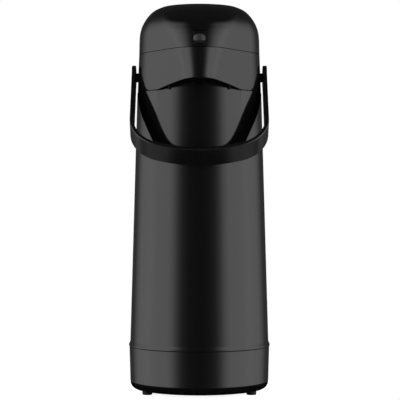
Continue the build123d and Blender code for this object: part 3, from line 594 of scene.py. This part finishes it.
# %% Head housing
ARCH_HALF_WIDTH = 36.5
ARCH_FLAT = 4.8
ARCH_RISE = 7.4
ARCH_BEND = 0.454
ARCH_SOFT = 0.4
ARCH_DEPTH = 20.0
PIVOT_HEIGHT = 281.6
BOSS_RADIUS = 4.15
BOSS_START = 52.0
BOSS_END = 56.7
BOSS_EDGE = 0.4
HINGE_BACK = 58.6
KNUCKLE_RADIUS = 4.0
KNUCKLE_HALF = 6.0
KNUCKLE_OUTER = 14.0
KNUCKLE_GAP = 0.2
KNUCKLE_EDGE = 0.5
KNUCKLE_SINK = 2.0
KNUCKLE_ROOT = (291.0, 298.5)
CATCH_SIDE = [(-77.4, 299.0), (-75.8, 299.0), (-75.8, 300.4), (-77.4, 300.4)]
CATCH_HALF = 5.0
SMALL_EDGE = 0.3
HOUSING_GRID = 3.0


def arch_lift(x, y):
    """How far the housing's lower edge stands above the body's top, at a plan point."""
    if y > -ARCH_DEPTH or abs(x) >= ARCH_HALF_WIDTH:
        return 0.0
    share = (abs(x) - ARCH_FLAT) / (ARCH_HALF_WIDTH - ARCH_FLAT)
    flank = ARCH_RISE * (1 - share) * (1 + ARCH_BEND * share)
    mix = max(0.0, min(1.0, 0.5 + 0.5 * (ARCH_RISE - flank) / ARCH_SOFT))
    return ARCH_RISE * (1 - mix) + flank * mix - ARCH_SOFT * mix * (1 - mix) / 2


def housing_outline(height, inset):
    """Outline of the housing at a height."""
    share = (height - BODY_TOP) / (SEAM - BODY_TOP)
    radius = HEAD_LOW_RADIUS + (HEAD_SEAM_RADIUS - HEAD_LOW_RADIUS) * share - inset
    reach = BEAK_LOW_REACH + (BEAK_SEAM_REACH - BEAK_LOW_REACH) * share - inset
    nose = BEAK_LOW_NOSE + (BEAK_SEAM_NOSE - BEAK_LOW_NOSE) * share - inset
    return head_outline(radius, reach, nose)


def build_housing():
    """The housing's wall as a closed skin: up the outside, over the rim and down the inside."""
    top = SEAM - SEAM_GAP / 2
    corners = [(0, BODY_TOP, 0.6), (0, top, 0.2), (HEAD_WALL, top, 0.3), (HEAD_WALL, BODY_TOP, 0.45)]
    loops = []
    for p in finer(rounded(corners, 4), HOUSING_GRID):
        fade = 1 - (p.y - BODY_TOP) / (top - BODY_TOP)
        loop = []
        for index, plan in enumerate(housing_outline(p.y, p.x)):
            lift = arch_lift(plan.x, plan.y) * fade
            if lift:
                plan = housing_outline(p.y + lift, p.x)[index]
            loop.append((plan.x * MM, plan.y * MM, (p.y + lift) * MM))
        loops.append(loop)
    return skin("housing_shell", loops, "shell_black", "flask", ["head_housing"])


def build_housing_fittings():
    """Handle bosses, outer knuckles and the latch's catch."""
    for side in (-1, 1):
        hand = "right" if side > 0 else "left"
        ends = sorted((side * BOSS_START, side * BOSS_END))
        bar_along_x(f"handle_boss_{hand}", disc((0, PIVOT_HEIGHT), BOSS_RADIUS), ends, BOSS_EDGE,
                    "shell_black", "flask")
        ends = sorted((side * (KNUCKLE_HALF + KNUCKLE_GAP), side * KNUCKLE_OUTER))
        wall = [(HEAD_SEAM_RADIUS - KNUCKLE_SINK, height) for height in KNUCKLE_ROOT]
        outline = hull([tuple(p) for p in disc((HINGE_BACK, SEAM), KNUCKLE_RADIUS)] + wall)
        bar_along_x(f"hinge_knuckle_{hand}", outline, ends, KNUCKLE_EDGE, "shell_black", "flask")
    catch = [Vector(p) for p in CATCH_SIDE]
    bar_along_x("latch_catch", catch, (-CATCH_HALF, CATCH_HALF), SMALL_EDGE, "shell_black", "flask")


housing_shell = build_housing()
build_housing_fittings()
print("housing faces", len(housing_shell.data.polygons))

# %% [markdown]
# ### The lid above the seam
#
# The dome's form is a short list of shares: how far up, how far in, how much of the beak is left and how
# wide its nose is. A smooth curve through them gives as many rows as the highlight needs, and two rows lie
# exactly at the latch window's lower and upper edge. The wall follows the slope of the dome.

# %% Lid sizes and rows
LID_LOW = SEAM + SEAM_GAP / 2
LID_TOP = 343.3
CROWN_RADIUS = 36.0
WELL_RADIUS = 35.1
WELL_WALL = 2.0
WELL_DEPTH = 7.0
WELL_EDGE = 0.35
WINDOW_LOW = 304.1
WINDOW_HIGH = 316.8
ROWS_BELOW_WINDOW = 2
WINDOW_ROWS = 14
CROWN_ROWS = 40
CROWN_CROWDING = 1.5
SLOPE_STEP = 0.5
LUG_SINK = 1.5
LUG_ROOT = (303.0, 309.0)
DOME_FORM = [
    (0.000, 0.000, 1.000, 0.460),
    (0.143, 0.008, 0.863, 0.532),
    (0.313, 0.019, 0.707, 0.616),
    (0.439, 0.044, 0.602, 0.670),
    (0.580, 0.124, 0.510, 0.713),
    (0.726, 0.287, 0.373, 0.777),
    (0.859, 0.514, 0.213, 0.861),
    (0.944, 0.740, 0.082, 0.940),
    (1.000, 1.000, 0.012, 0.990),
]


def dome_stations():
    """Height, radius, reach of the beak and radius of its nose at each station."""
    stations = []
    for up, inward, overhang, nose in DOME_FORM:
        radius = HEAD_SEAM_RADIUS + (CROWN_RADIUS - HEAD_SEAM_RADIUS) * inward
        reach = radius + (BEAK_SEAM_REACH - HEAD_SEAM_RADIUS) * overhang
        stations.append((LID_LOW + (LID_TOP - LID_LOW) * up, radius, reach, radius * nose))
    return stations


def slope_at(stations, index, column):
    """Slope of the curve at a station: the harmonic mean of its two sides, so that it never overshoots."""
    def side(a, b):
        return (stations[b][column] - stations[a][column]) / (stations[b][0] - stations[a][0])
    last = len(stations) - 1
    if index in (0, last):
        return side(0, 1) if index == 0 else side(last - 1, last)
    left, right = side(index - 1, index), side(index, index + 1)
    return 0.0 if left * right <= 0 else 2 * left * right / (left + right)


def dome_at(height):
    """Radius, reach and nose at any height, on a cubic Hermite curve through the stations."""
    stations = dome_stations()
    index = max(i for i in range(len(stations) - 1) if i == 0 or height >= stations[i][0])
    low, high = stations[index], stations[index + 1]
    span = high[0] - low[0]
    t = (height - low[0]) / span
    values = []
    for column in (1, 2, 3):
        start = slope_at(stations, index, column) * span
        end = slope_at(stations, index + 1, column) * span
        values.append((2 * t ** 3 - 3 * t ** 2 + 1) * low[column] + (t ** 3 - 2 * t ** 2 + t) * start
                      + (3 * t ** 2 - 2 * t ** 3) * high[column] + (t ** 3 - t ** 2) * end)
    return values


def dome_loop(height, inset):
    """Outline of the dome at a height, drawn in square to its slope by an inset."""
    radius, reach, nose = dome_at(height)
    low, high = max(LID_LOW, height - SLOPE_STEP), min(LID_TOP, height + SLOPE_STEP)
    before, after = dome_at(low), dome_at(high)
    slope = max(0.0, (before[0] + before[1] - after[0] - after[1]) / 2 / (high - low))
    shrink = inset / math.hypot(1, slope)
    return [Vector((p.x, p.y, height - shrink * slope))
            for p in head_outline(radius - shrink, reach - shrink, nose - shrink)]


def window_rows():
    """Row heights of the dome, dense at the crown, with two rows at the window's edges."""
    heights = []
    for low, high, count in ((LID_LOW, WINDOW_LOW, ROWS_BELOW_WINDOW),
                             (WINDOW_LOW, WINDOW_HIGH, WINDOW_ROWS)):
        heights += [low + (high - low) * n / count for n in range(count)]
    for n in range(CROWN_ROWS + 1):
        left = (1 - n / CROWN_ROWS) ** CROWN_CROWDING
        heights.append(WINDOW_HIGH + (LID_TOP - WINDOW_HIGH) * (1 - left))
    return heights


# %% Lid skin with its window
def circle_loop(guide, radius, height):
    """The guide outline's points pulled onto a circle."""
    return [Vector((p.x, p.y, 0)).normalized() * radius + Vector((0, 0, height)) for p in guide]


def build_lid():
    """The dome: outside rows up, down the well, and inside rows down, with the latch window cut out."""
    heights = window_rows()
    outside = [dome_loop(height, 0.0) for height in heights]
    crown = outside[-1]
    inside = []
    for height in heights:
        loop = dome_loop(height, HEAD_WALL)
        if loop[0].xy.length < WELL_RADIUS + WELL_WALL:
            loop = circle_loop(loop, WELL_RADIUS + WELL_WALL, loop[0].z)
        inside.append([Vector((p.x, p.y, max(p.z, LID_LOW))) for p in loop])
    part = EDGE_SHARE * WELL_EDGE
    well_low = LID_TOP - WELL_DEPTH
    well = [
        circle_loop(crown, WELL_RADIUS + WELL_EDGE, LID_TOP),
        circle_loop(crown, WELL_RADIUS + part, LID_TOP - part),
        circle_loop(crown, WELL_RADIUS, LID_TOP - WELL_EDGE),
        circle_loop(crown, WELL_RADIUS, well_low),
        circle_loop(crown, WELL_RADIUS + WELL_WALL, well_low),
    ]
    loops = outside + well + inside[::-1]
    count = len(crown)
    rows = range(heights.index(WINDOW_LOW), heights.index(WINDOW_HIGH))
    steps = range(WINDOW_START, WINDOW_START + WINDOW_POINTS)
    total = len(loops)
    window = {(row, step) for row in rows for step in steps}
    window |= {(total - 2 - row, step) for row in rows for step in steps}
    faces = [face for index, face in enumerate(skin_faces(total, count, True))
             if divmod(index, count) not in window]
    ring = [(rows[0], step) for step in range(steps[0], steps[-1] + 2)]
    ring += [(row, steps[-1] + 1) for row in range(rows[0] + 1, rows[-1] + 2)]
    ring += [(rows[-1] + 1, step) for step in range(steps[-1], steps[0] - 1, -1)]
    ring += [(row, steps[0]) for row in range(rows[-1], rows[0], -1)]
    for (row, step), (next_row, next_step) in zip(ring, ring[1:] + ring[:1]):
        faces.append((row * count + step, next_row * count + next_step,
                      (total - 1 - next_row) * count + next_step, (total - 1 - row) * count + step))
    points = [tuple(p * MM) for loop in loops for p in loop]
    return link_mesh("lid_dome", points, faces, "shell_black", "lid", ["lid_shell"])


lid_dome = build_lid()
lug = hull([tuple(p) for p in disc((HINGE_BACK, SEAM), KNUCKLE_RADIUS)]
           + [(HEAD_SEAM_RADIUS - LUG_SINK, height) for height in LUG_ROOT])
bar_along_x("lid_knuckle", lug, (-KNUCKLE_HALF, KNUCKLE_HALF), KNUCKLE_EDGE, "shell_black", "lid")
print("lid faces", len(lid_dome.data.polygons))

# %% [markdown]
# ## The latch in its scoop
#
# The latch's pad continues the dome's surface a fifth of a millimetre lower, and a ball has been pressed
# into it as a thumb scoop. The pad's grid is the dome's own outline between the window's sides, so the gap
# around it stays even. The scoop's upper part shows as a paler patch in the black, the highlight of the
# hollow, and that highlight is painted: those faces get a paler satin material of their own, a second
# material on the same mesh, which scatters the lamps' light as a grey that the black shell doesn't have. In
# the photograph the scoop shows as a paler patch in the black, and one picture doesn't tell what makes it
# paler. Here the faces of the scoop's upper part get a satin finish of their own, a second material on the
# same mesh, which scatters the lamps' light.

# %% Latch
PAD_GAP = 0.3
PAD_INSET = 0.2
PAD_THICK = 3.9
PAD_EDGE = 0.5
PAD_ROUND = 0.35
PAD_SHARP = 50
SCOOP_RADIUS = 8.0
SCOOP_DEPTH = 2.0
SCOOP_LIFT = 1.0
# Painted highlight: how far above the pad's lower edge and how deep in the scoop its faces begin.
PAINTED_HIGHLIGHT_RISE = 3.2
PAINTED_HIGHLIGHT_DEPTH = 0.36
ARM_HALF = 3.0
SCOOP_ROWS = 56
SCOOP_COLUMNS = 48
LATCH_SIDE = [(-75.4, 296.4), (-67.8, 296.4), (-67.8, 298.4), (-71.4, 298.4), (-71.4, 303.1), (-57.8, 303.1),
              (-57.8, 306.1), (-71.4, 306.1), (-71.4, 306.9), (-73.6, 306.9), (-73.6, 298.4), (-75.4, 298.4)]


def dome_front(x, height):
    """The dome's front surface at a place across and a height: its y."""
    reach, nose = dome_at(height)[1:]
    return -(reach - nose) - math.sqrt(nose ** 2 - x ** 2)


def pad_front(x, height, half, low, high):
    """The pad's surface: the dome, drawn in and rounded at the rim, or the scoop's deeper ball."""
    rim = min(half - abs(x), height - low, high - height)
    y = dome_front(x, height) + PAD_INSET + PAD_ROUND * max(0.0, 1 - rim / PAD_EDGE) ** 2
    middle = (low + high) / 2 + SCOOP_LIFT
    centre = dome_front(0.0, middle) + SCOOP_DEPTH - SCOOP_RADIUS
    room = SCOOP_RADIUS ** 2 - x ** 2 - (height - middle) ** 2
    return max(y, centre + math.sqrt(room)) if room > 0 else y


def in_painted_highlight(x, height, half, low, high):
    """Whether a place on the pad lies in the scoop's upper part, which gets the painted highlight."""
    if abs(x) > half or not low + PAINTED_HIGHLIGHT_RISE < height < high:
        return False
    return pad_front(x, height, half, low, high) > dome_front(x, height) + PAD_INSET + PAINTED_HIGHLIGHT_DEPTH


def build_latch():
    """The scooped pad, and behind it the arm with its hook and foot."""
    half = WINDOW_HALF - PAD_GAP
    low, high = WINDOW_LOW + PAD_GAP, WINDOW_HIGH - PAD_GAP
    front, back = [], []
    for row in range(SCOOP_ROWS + 1):
        height = low + (high - low) * row / SCOOP_ROWS
        for column in range(SCOOP_COLUMNS + 1):
            x = -half + 2 * half * column / SCOOP_COLUMNS
            front.append((x * MM, pad_front(x, height, half, low, high) * MM, height * MM))
            back.append((x * MM, (dome_front(x, height) + PAD_THICK) * MM, height * MM))
    wide = SCOOP_COLUMNS + 1
    total = len(front)
    faces = []
    for row in range(SCOOP_ROWS):
        for column in range(SCOOP_COLUMNS):
            a = row * wide + column
            faces.append((a, a + 1, a + wide + 1, a + wide))
            faces.append((total + a, total + a + wide, total + a + wide + 1, total + a + 1))
    ring = list(range(wide))
    ring += [row * wide + SCOOP_COLUMNS for row in range(1, SCOOP_ROWS + 1)]
    ring += [SCOOP_ROWS * wide + column for column in range(SCOOP_COLUMNS - 1, -1, -1)]
    ring += [row * wide for row in range(SCOOP_ROWS - 1, 0, -1)]
    for a, b in zip(ring, ring[1:] + ring[:1]):
        faces.append((a, b, total + b, total + a))
    pad = link_mesh("latch_pad", front + back, faces, "shell_black", "latch", ["lid_latch"],
                    PAD_SHARP)
    pad.data.materials.append(scoop_painted_highlight)
    # The scoop's upper faces get the painted highlight material.
    for face in pad.data.polygons:
        if max(face.vertices) < total:
            middle = sum((Vector(front[index]) for index in face.vertices), Vector()) / len(face.vertices)
            face.material_index = int(in_painted_highlight(middle.x / MM, middle.z / MM, half, low, high))
    arm = [Vector(p) for p in LATCH_SIDE]
    bar_along_x("latch_arm", arm, (-ARM_HALF, ARM_HALF), SMALL_EDGE, "inner_black", "latch")
    return pad


latch_pad = build_latch()
print("latch faces", len(latch_pad.data.polygons))

# %% [markdown]
# ## Light and background
#
# The grey of the pot is the image of two tall soft lamps, one on each side: a black shell shows only what
# it mirrors. So the studio is a tent round the flask, out of the camera's sight. Its two side walls glow.
# They are strongest from the front diagonal to the side, and fade towards the front, the back, the top and
# the floor. Towards the back their upper edge leans down, and the right wall sits 2 degrees nearer the
# front. Far below, the tent glows faintly in place of a wide table, and the rest of it is dark cloth.
#
# Behind the tent everything is white, which is what the camera sees as background. Mirror images meet the
# tent first, so they show its cloth and its lamps. The floor is a small disc that glows a little under full
# white, so that the flask's shadow still shows on it. In mirror images the disc is nearly black, a painted
# shade that stands in for the flask's shade on the table.

# %% Light and background
TENT_RADIUS = 3.0
TENT_CENTRE = 0.17
TENT_SEGMENTS = 96
TENT_RINGS = 48
TENT_GLOW = 1.86
TENT_DARK = 0.035
TENT_PROFILE = [(0, 0.0), (18, 0.02), (29, 0.10), (37, 0.33), (45, 0.72), (54, 1.0), (92, 0.92), (118, 0.48),
                (131, 0.19), (140, 0.05), (152, 0.02), (180, 0.0)]
TENT_TOP_FULL = 36.0
TENT_TOP_END = 66.0
TENT_LOW_END = -34.0
TENT_LOW_FULL = -14.0
TENT_RIGHT = 2.0
TENT_TILT = 0.35
TENT_TILT_FROM = 70.0
TABLE_START = -20.0
TABLE_FULL = -50.0
TABLE_GLOW = 0.3
FLOOR_RADIUS = 0.105
FLOOR_SEGMENTS = 128
FLOOR_GLOW = 0.93
FLOOR_RIM = (0.62, 0.98)
FLOOR_SHADE = (0.095, 0.14)
FLOOR_GREY = 0.9
FLOOR_ROUGHNESS = 0.9


def ramp_node(tree, value, stops):
    """A grey ramp through (place, grey) stops."""
    ramp = tree.nodes.new("ShaderNodeValToRGB")
    elements = ramp.color_ramp.elements
    while len(elements) < len(stops):
        elements.new(0.5)
    for element, (place, grey) in zip(elements, stops):
        element.position = place
        element.color = (grey, grey, grey, 1)
    tree.links.new(value, ramp.inputs["Fac"])
    return ramp.outputs["Color"]


def soft_step(tree, value, start, end, low, high):
    """A value that turns smoothly from low to high between start and end."""
    step = tree.nodes.new("ShaderNodeMapRange")
    step.interpolation_type = "SMOOTHSTEP"
    for name, setting in (("From Min", start), ("From Max", end), ("To Min", low), ("To Max", high)):
        step.inputs[name].default_value = setting
    tree.links.new(value, step.inputs["Value"])
    return step.outputs["Result"]


def tent_material():
    """Glow by compass direction and height: two side walls, dark in front, behind and above."""
    material = bpy.data.materials.new("studio_tent")
    material.use_nodes = True
    tree = material.node_tree
    tree.nodes.clear()
    place = tree.nodes.new("ShaderNodeTexCoord").outputs["Object"]
    split = tree.nodes.new("ShaderNodeSeparateXYZ")
    tree.links.new(place, split.inputs[0])
    across = math_node(tree, "ABSOLUTE", split.outputs["X"])
    forward = math_node(tree, "MULTIPLY", split.outputs["Y"], -1.0)
    azimuth = math_node(tree, "ARCTAN2", across, forward)
    right = math_node(tree, "GREATER_THAN", split.outputs["X"], 0.0)
    right = math_node(tree, "MULTIPLY", right, math.radians(TENT_RIGHT))
    azimuth = math_node(tree, "ADD", azimuth, right)
    compass = math_node(tree, "DIVIDE", azimuth, math.pi)
    wall = ramp_node(tree, compass, [(angle / 180, grey) for angle, grey in TENT_PROFILE])
    height = math_node(tree, "ARCSINE", math_node(tree, "DIVIDE", split.outputs["Z"], TENT_RADIUS))
    behind = math_node(tree, "SUBTRACT", azimuth, math.radians(TENT_TILT_FROM))
    behind = math_node(tree, "MAXIMUM", behind, 0.0)
    leaning = math_node(tree, "ADD", height, math_node(tree, "MULTIPLY", behind, TENT_TILT))
    fade = soft_step(tree, leaning, math.radians(TENT_TOP_FULL), math.radians(TENT_TOP_END), 1.0, 0.0)
    table = soft_step(tree, height, math.radians(TABLE_FULL), math.radians(TABLE_START), TABLE_GLOW, 0.0)
    low = soft_step(tree, height, math.radians(TENT_LOW_END), math.radians(TENT_LOW_FULL), 0.0, 1.0)
    wall = math_node(tree, "MULTIPLY", wall, low)
    glow = math_node(tree, "MULTIPLY", math_node(tree, "MULTIPLY", wall, fade), TENT_GLOW)
    glow = math_node(tree, "MAXIMUM", glow, table)
    light = tree.nodes.new("ShaderNodeEmission")
    tree.links.new(math_node(tree, "ADD", glow, TENT_DARK), light.inputs["Strength"])
    output = tree.nodes.new("ShaderNodeOutputMaterial")
    tree.links.new(light.outputs[0], output.inputs["Surface"])
    return material


def add_tent():
    """The tent's shell, seen by light and reflections but not by the camera."""
    mesh = bpy.data.meshes.new("studio_tent")
    work = bmesh.new()
    bmesh.ops.create_uvsphere(work, u_segments=TENT_SEGMENTS, v_segments=TENT_RINGS, radius=TENT_RADIUS)
    work.to_mesh(mesh)
    work.free()
    tent = bpy.data.objects.new("studio_tent", mesh)
    tent.location = (0, 0, TENT_CENTRE)
    tent.visible_camera = False
    tent.visible_shadow = False
    mesh.materials.append(tent_material())
    bpy.context.collection.objects.link(tent)


def add_world():
    """White behind everything, for the camera, for mirror images and through glass."""
    world = bpy.data.worlds.new("studio")
    bpy.context.scene.world = world
    world.use_nodes = True
    tree = world.node_tree
    path = tree.nodes.new("ShaderNodeLightPath")
    seen = math_node(tree, "MAXIMUM", path.outputs["Is Camera Ray"], path.outputs["Is Glossy Ray"])
    seen = math_node(tree, "MAXIMUM", seen, path.outputs["Is Transmission Ray"])
    background = tree.nodes["Background"]
    background.inputs["Color"].default_value = (1, 1, 1, 1)
    tree.links.new(seen, background.inputs["Strength"])


def floor_material():
    """Pale table: most of its white is its own glow, and the rest dims in the flask's shadow.

    Mirror images show it nearly black near the flask, a painted shade of the flask on the table: the share
    `mirrored` only begins close to its rim.
    """
    material = bpy.data.materials.new("floor_white")
    material.use_nodes = True
    tree = material.node_tree
    shader = tree.nodes["Principled BSDF"]
    shader.inputs["Roughness"].default_value = FLOOR_ROUGHNESS
    shader.inputs["Specular IOR Level"].default_value = 0.0
    place = tree.nodes.new("ShaderNodeTexCoord").outputs["Object"]
    length = tree.nodes.new("ShaderNodeVectorMath")
    length.operation = "LENGTH"
    tree.links.new(place, length.inputs[0])
    out = length.outputs["Value"]
    rim = soft_step(tree, out, *(FLOOR_RADIUS * share for share in FLOOR_RIM), FLOOR_GLOW, 1.0)
    mirrored = soft_step(tree, out, *FLOOR_SHADE, 0.0, 1.0)
    path = tree.nodes.new("ShaderNodeLightPath")
    glossy = path.outputs["Is Glossy Ray"]
    # Painted shade: for mirror images the disc's colour and glow drop to nearly black near the flask,
    # standing in for its shade on the table.
    shade = math_node(tree, "MAXIMUM", math_node(tree, "SUBTRACT", 1.0, glossy), mirrored)
    tree.links.new(math_node(tree, "MULTIPLY", shade, FLOOR_GREY), shader.inputs["Base Color"])
    seen = math_node(tree, "MULTIPLY", glossy, mirrored)
    seen = math_node(tree, "MAXIMUM", path.outputs["Is Camera Ray"], seen)
    seen = math_node(tree, "MAXIMUM", seen, path.outputs["Is Transmission Ray"])
    shader.inputs["Emission Color"].default_value = (1, 1, 1, 1)
    tree.links.new(math_node(tree, "MULTIPLY", seen, rim), shader.inputs["Emission Strength"])
    return material


def add_floor():
    """A small round table top, just wide enough for the flask's soft shadow."""
    mesh = bpy.data.meshes.new("floor")
    work = bmesh.new()
    bmesh.ops.create_circle(work, cap_ends=True, segments=FLOOR_SEGMENTS, radius=FLOOR_RADIUS)
    work.to_mesh(mesh)
    work.free()
    floor = bpy.data.objects.new("floor", mesh)
    mesh.materials.append(floor_material())
    bpy.context.collection.objects.link(floor)


add_world()
add_tent()
add_floor()
print("tent radius", TENT_RADIUS, "floor radius", FLOOR_RADIUS)
